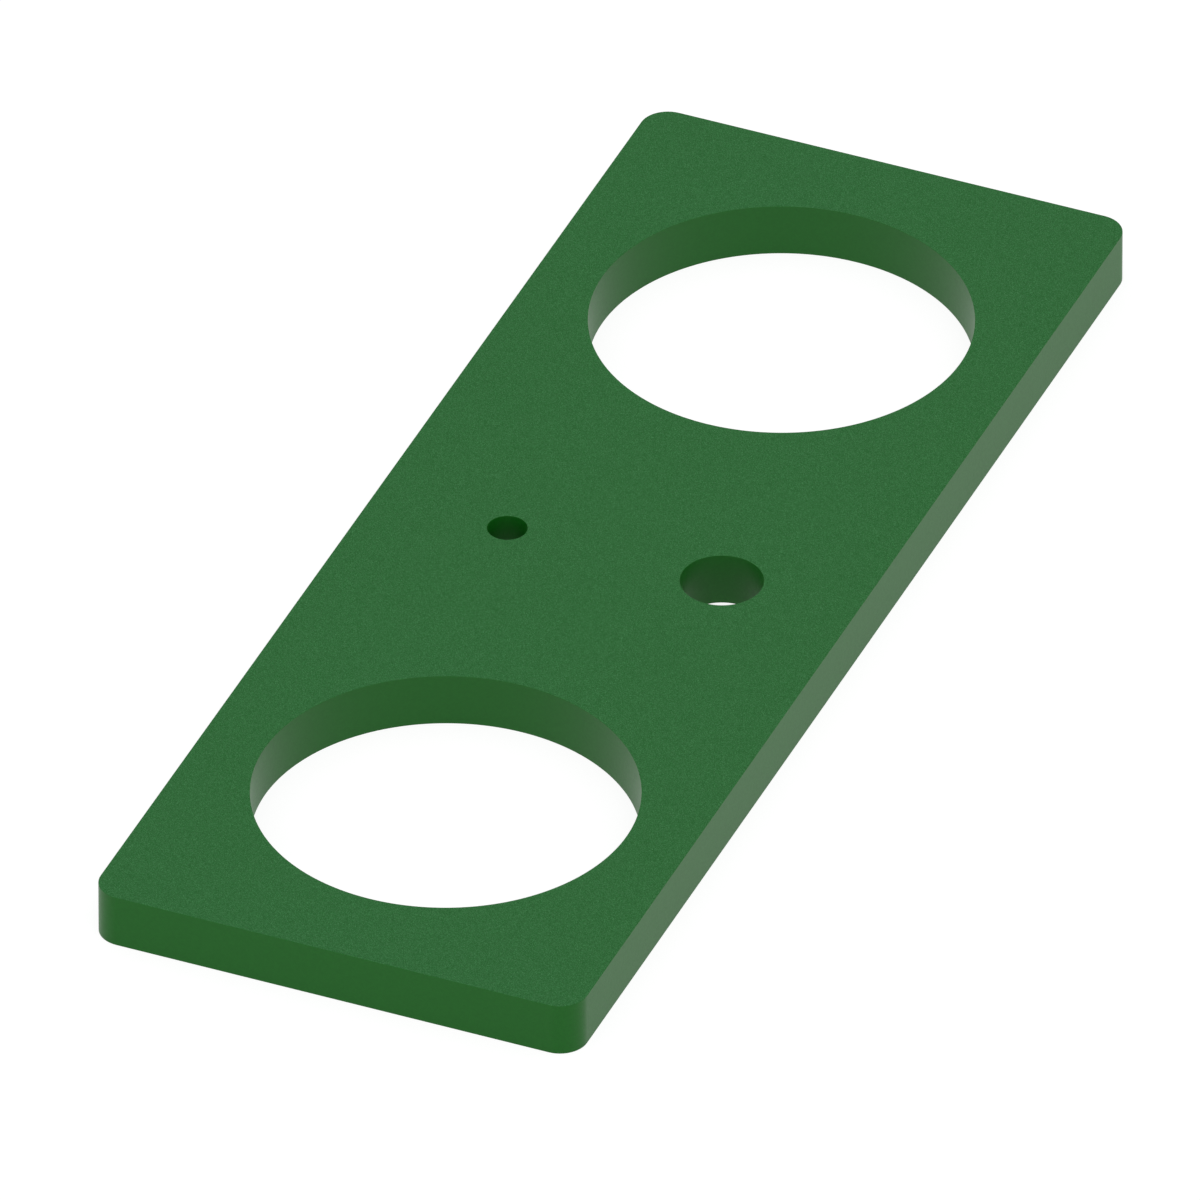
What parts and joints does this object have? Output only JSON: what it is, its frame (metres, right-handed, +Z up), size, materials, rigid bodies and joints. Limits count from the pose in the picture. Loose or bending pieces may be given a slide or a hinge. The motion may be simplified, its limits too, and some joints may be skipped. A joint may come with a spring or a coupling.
{
  "type": "spacer plate",
  "caption": "Flat oblong plate with rounded corners, large round through holes towards its ends and a bolt hole and a screw hole side by side across its middle.",
  "frame": {"origin": "middle of the underside, in the plane that the plate rests on", "axes": "+Z up through the thickness, +Y along the length, +X across the width towards the bolt hole"},
  "size_m": [0.09, 0.25, 0.01],
  "materials": {
    "green_paint": "satin"
  },
  "bodies": {
    "root": {"spacer_plate": "green_paint"}
  },
  "joints": []
}
